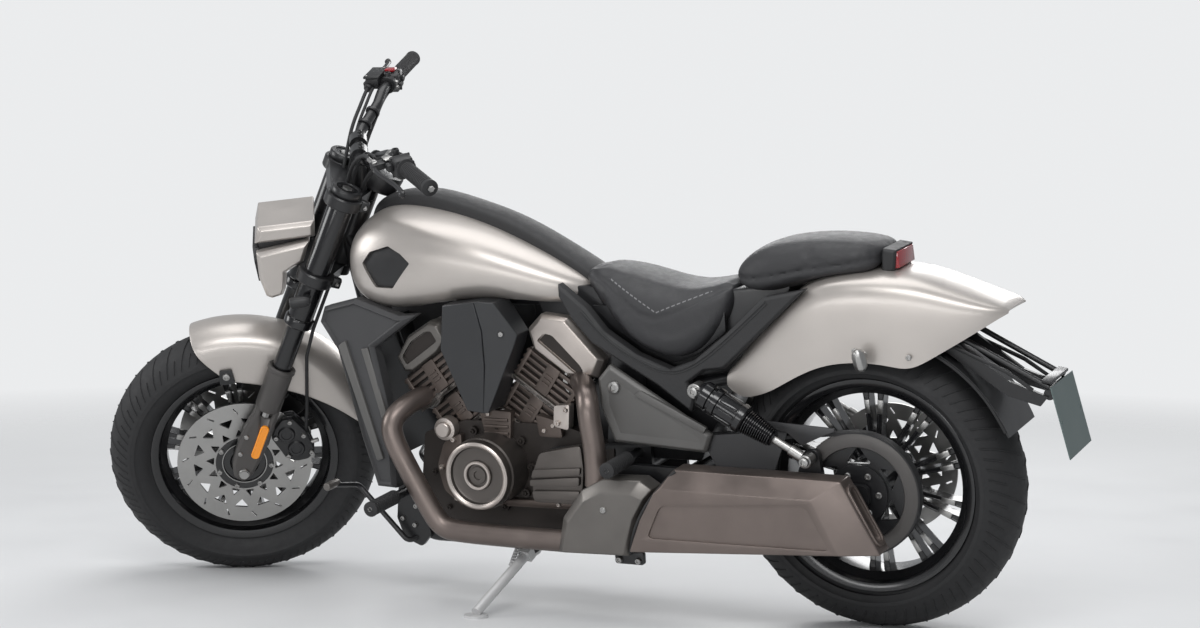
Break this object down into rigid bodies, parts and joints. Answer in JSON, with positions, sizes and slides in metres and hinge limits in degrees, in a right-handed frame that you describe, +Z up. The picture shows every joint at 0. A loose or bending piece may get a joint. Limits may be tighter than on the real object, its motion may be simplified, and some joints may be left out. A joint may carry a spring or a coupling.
{
  "type": "cruiser motorcycle",
  "caption": "V-twin cruiser motorcycle parked on its side stand with the steering turned to the left stop.",
  "frame": {"origin": "on the floor, under the middle of the bounding box of the parked motorcycle", "axes": "+X forward, +Y to the rider's left, +Z up"},
  "size_m": [2.2728, 0.7136, 1.2315],
  "materials": {
    "belt_rubber": "matte",
    "body_silver": "satin metallic",
    "engine_dark": "satin coated",
    "exhaust_bronze": "satin",
    "fork_grey": "satin",
    "frame_black": "semi-gloss",
    "grained_grey": "grained",
    "grip_rubber": "matte",
    "head_silver": "satin",
    "lamp_clear": "gloss",
    "lamp_red": "gloss",
    "panel_grey": "satin",
    "plate_blank": "satin",
    "reflector_orange": "gloss",
    "rim_black": "gloss",
    "seat_leather": "grained matte",
    "shield_grey": "satin",
    "stand_white": "satin",
    "steel": "brushed",
    "tube_black": "gloss",
    "tyre": "matte"
  },
  "bodies": {
    "rear_wheel": {"rear_rim": "rim_black", "rear_tyre": "tyre", "rear_pulley": "frame_black", "rear_disc": "steel"},
    "front_wheel": {"front_rim": "rim_black", "front_tyre": "tyre", "front_discs": "steel"},
    "chassis": {"rear_axle": "steel", "crankcase": "engine_dark", "cylinder_barrels": "engine_dark", "front_head": "engine_dark", "rear_head": "head_silver", "engine_covers": "engine_dark", "main_frame": "frame_black", "swingarm": "frame_black", "rear_shocks": "frame_black", "drive_belt": "belt_rubber", "intake_covers": "panel_grey", "fuel_tank": "body_silver", "tank_console": "grained_grey", "rider_seat": "seat_leather", "pillion_seat": "seat_leather", "rear_fender": "body_silver", "silencer": "exhaust_bronze", "heat_shield": "shield_grey", "exhaust_headers": "exhaust_bronze", "radiator_shrouds": "panel_grey", "radiator": "frame_black", "seat_trim": "grained_grey", "side_covers": "panel_grey", "inner_mudguard": "frame_black", "tail_lamp": "lamp_red", "plate_carrier": "frame_black", "number_plate": "plate_blank", "rear_indicators": "stand_white", "belt_guard": "panel_grey", "foot_controls": "frame_black", "passenger_pegs": "frame_black"},
    "steering": {"front_axle": "steel", "fork_shoes": "fork_grey", "fork_tubes": "tube_black", "yokes": "frame_black", "handlebar": "frame_black", "grips": "grip_rubber", "front_fender": "body_silver", "headlight": "body_silver", "front_calipers": "frame_black", "fork_reflectors": "reflector_orange", "brake_hoses": "belt_rubber", "switchgear": "frame_black", "headlight_lens": "lamp_clear", "front_indicators": "stand_white", "instrument": "frame_black"},
    "side_stand": {"side_stand": "stand_white"}
  },
  "joints": [
    {"name": "steering", "type": "hinge", "parent": "chassis", "child": "steering", "pos_m": [0.54497, -0.00134, 0.81182], "axis": [-0.4505, 0.124, 0.8841], "range_deg": [-68, 0]},
    {"name": "front_wheel_spin", "type": "hinge", "parent": "steering", "child": "front_wheel", "pos_m": [0.85707, -0.04271, 0.29519], "axis": [-0.4997, 0.7856, -0.3648], "continuous": true},
    {"name": "rear_wheel_spin", "type": "hinge", "parent": "chassis", "child": "rear_wheel", "pos_m": [-0.70449, -0.07202, 0.31386], "axis": [-0.0006, 0.9903, -0.1392], "continuous": true},
    {"name": "side_stand_fold", "type": "hinge", "parent": "chassis", "child": "side_stand", "pos_m": [0.05878, 0.03163, 0.12863], "axis": [0.0025, 0.5644, 0.8255], "range_deg": [0, 88]}
  ]
}
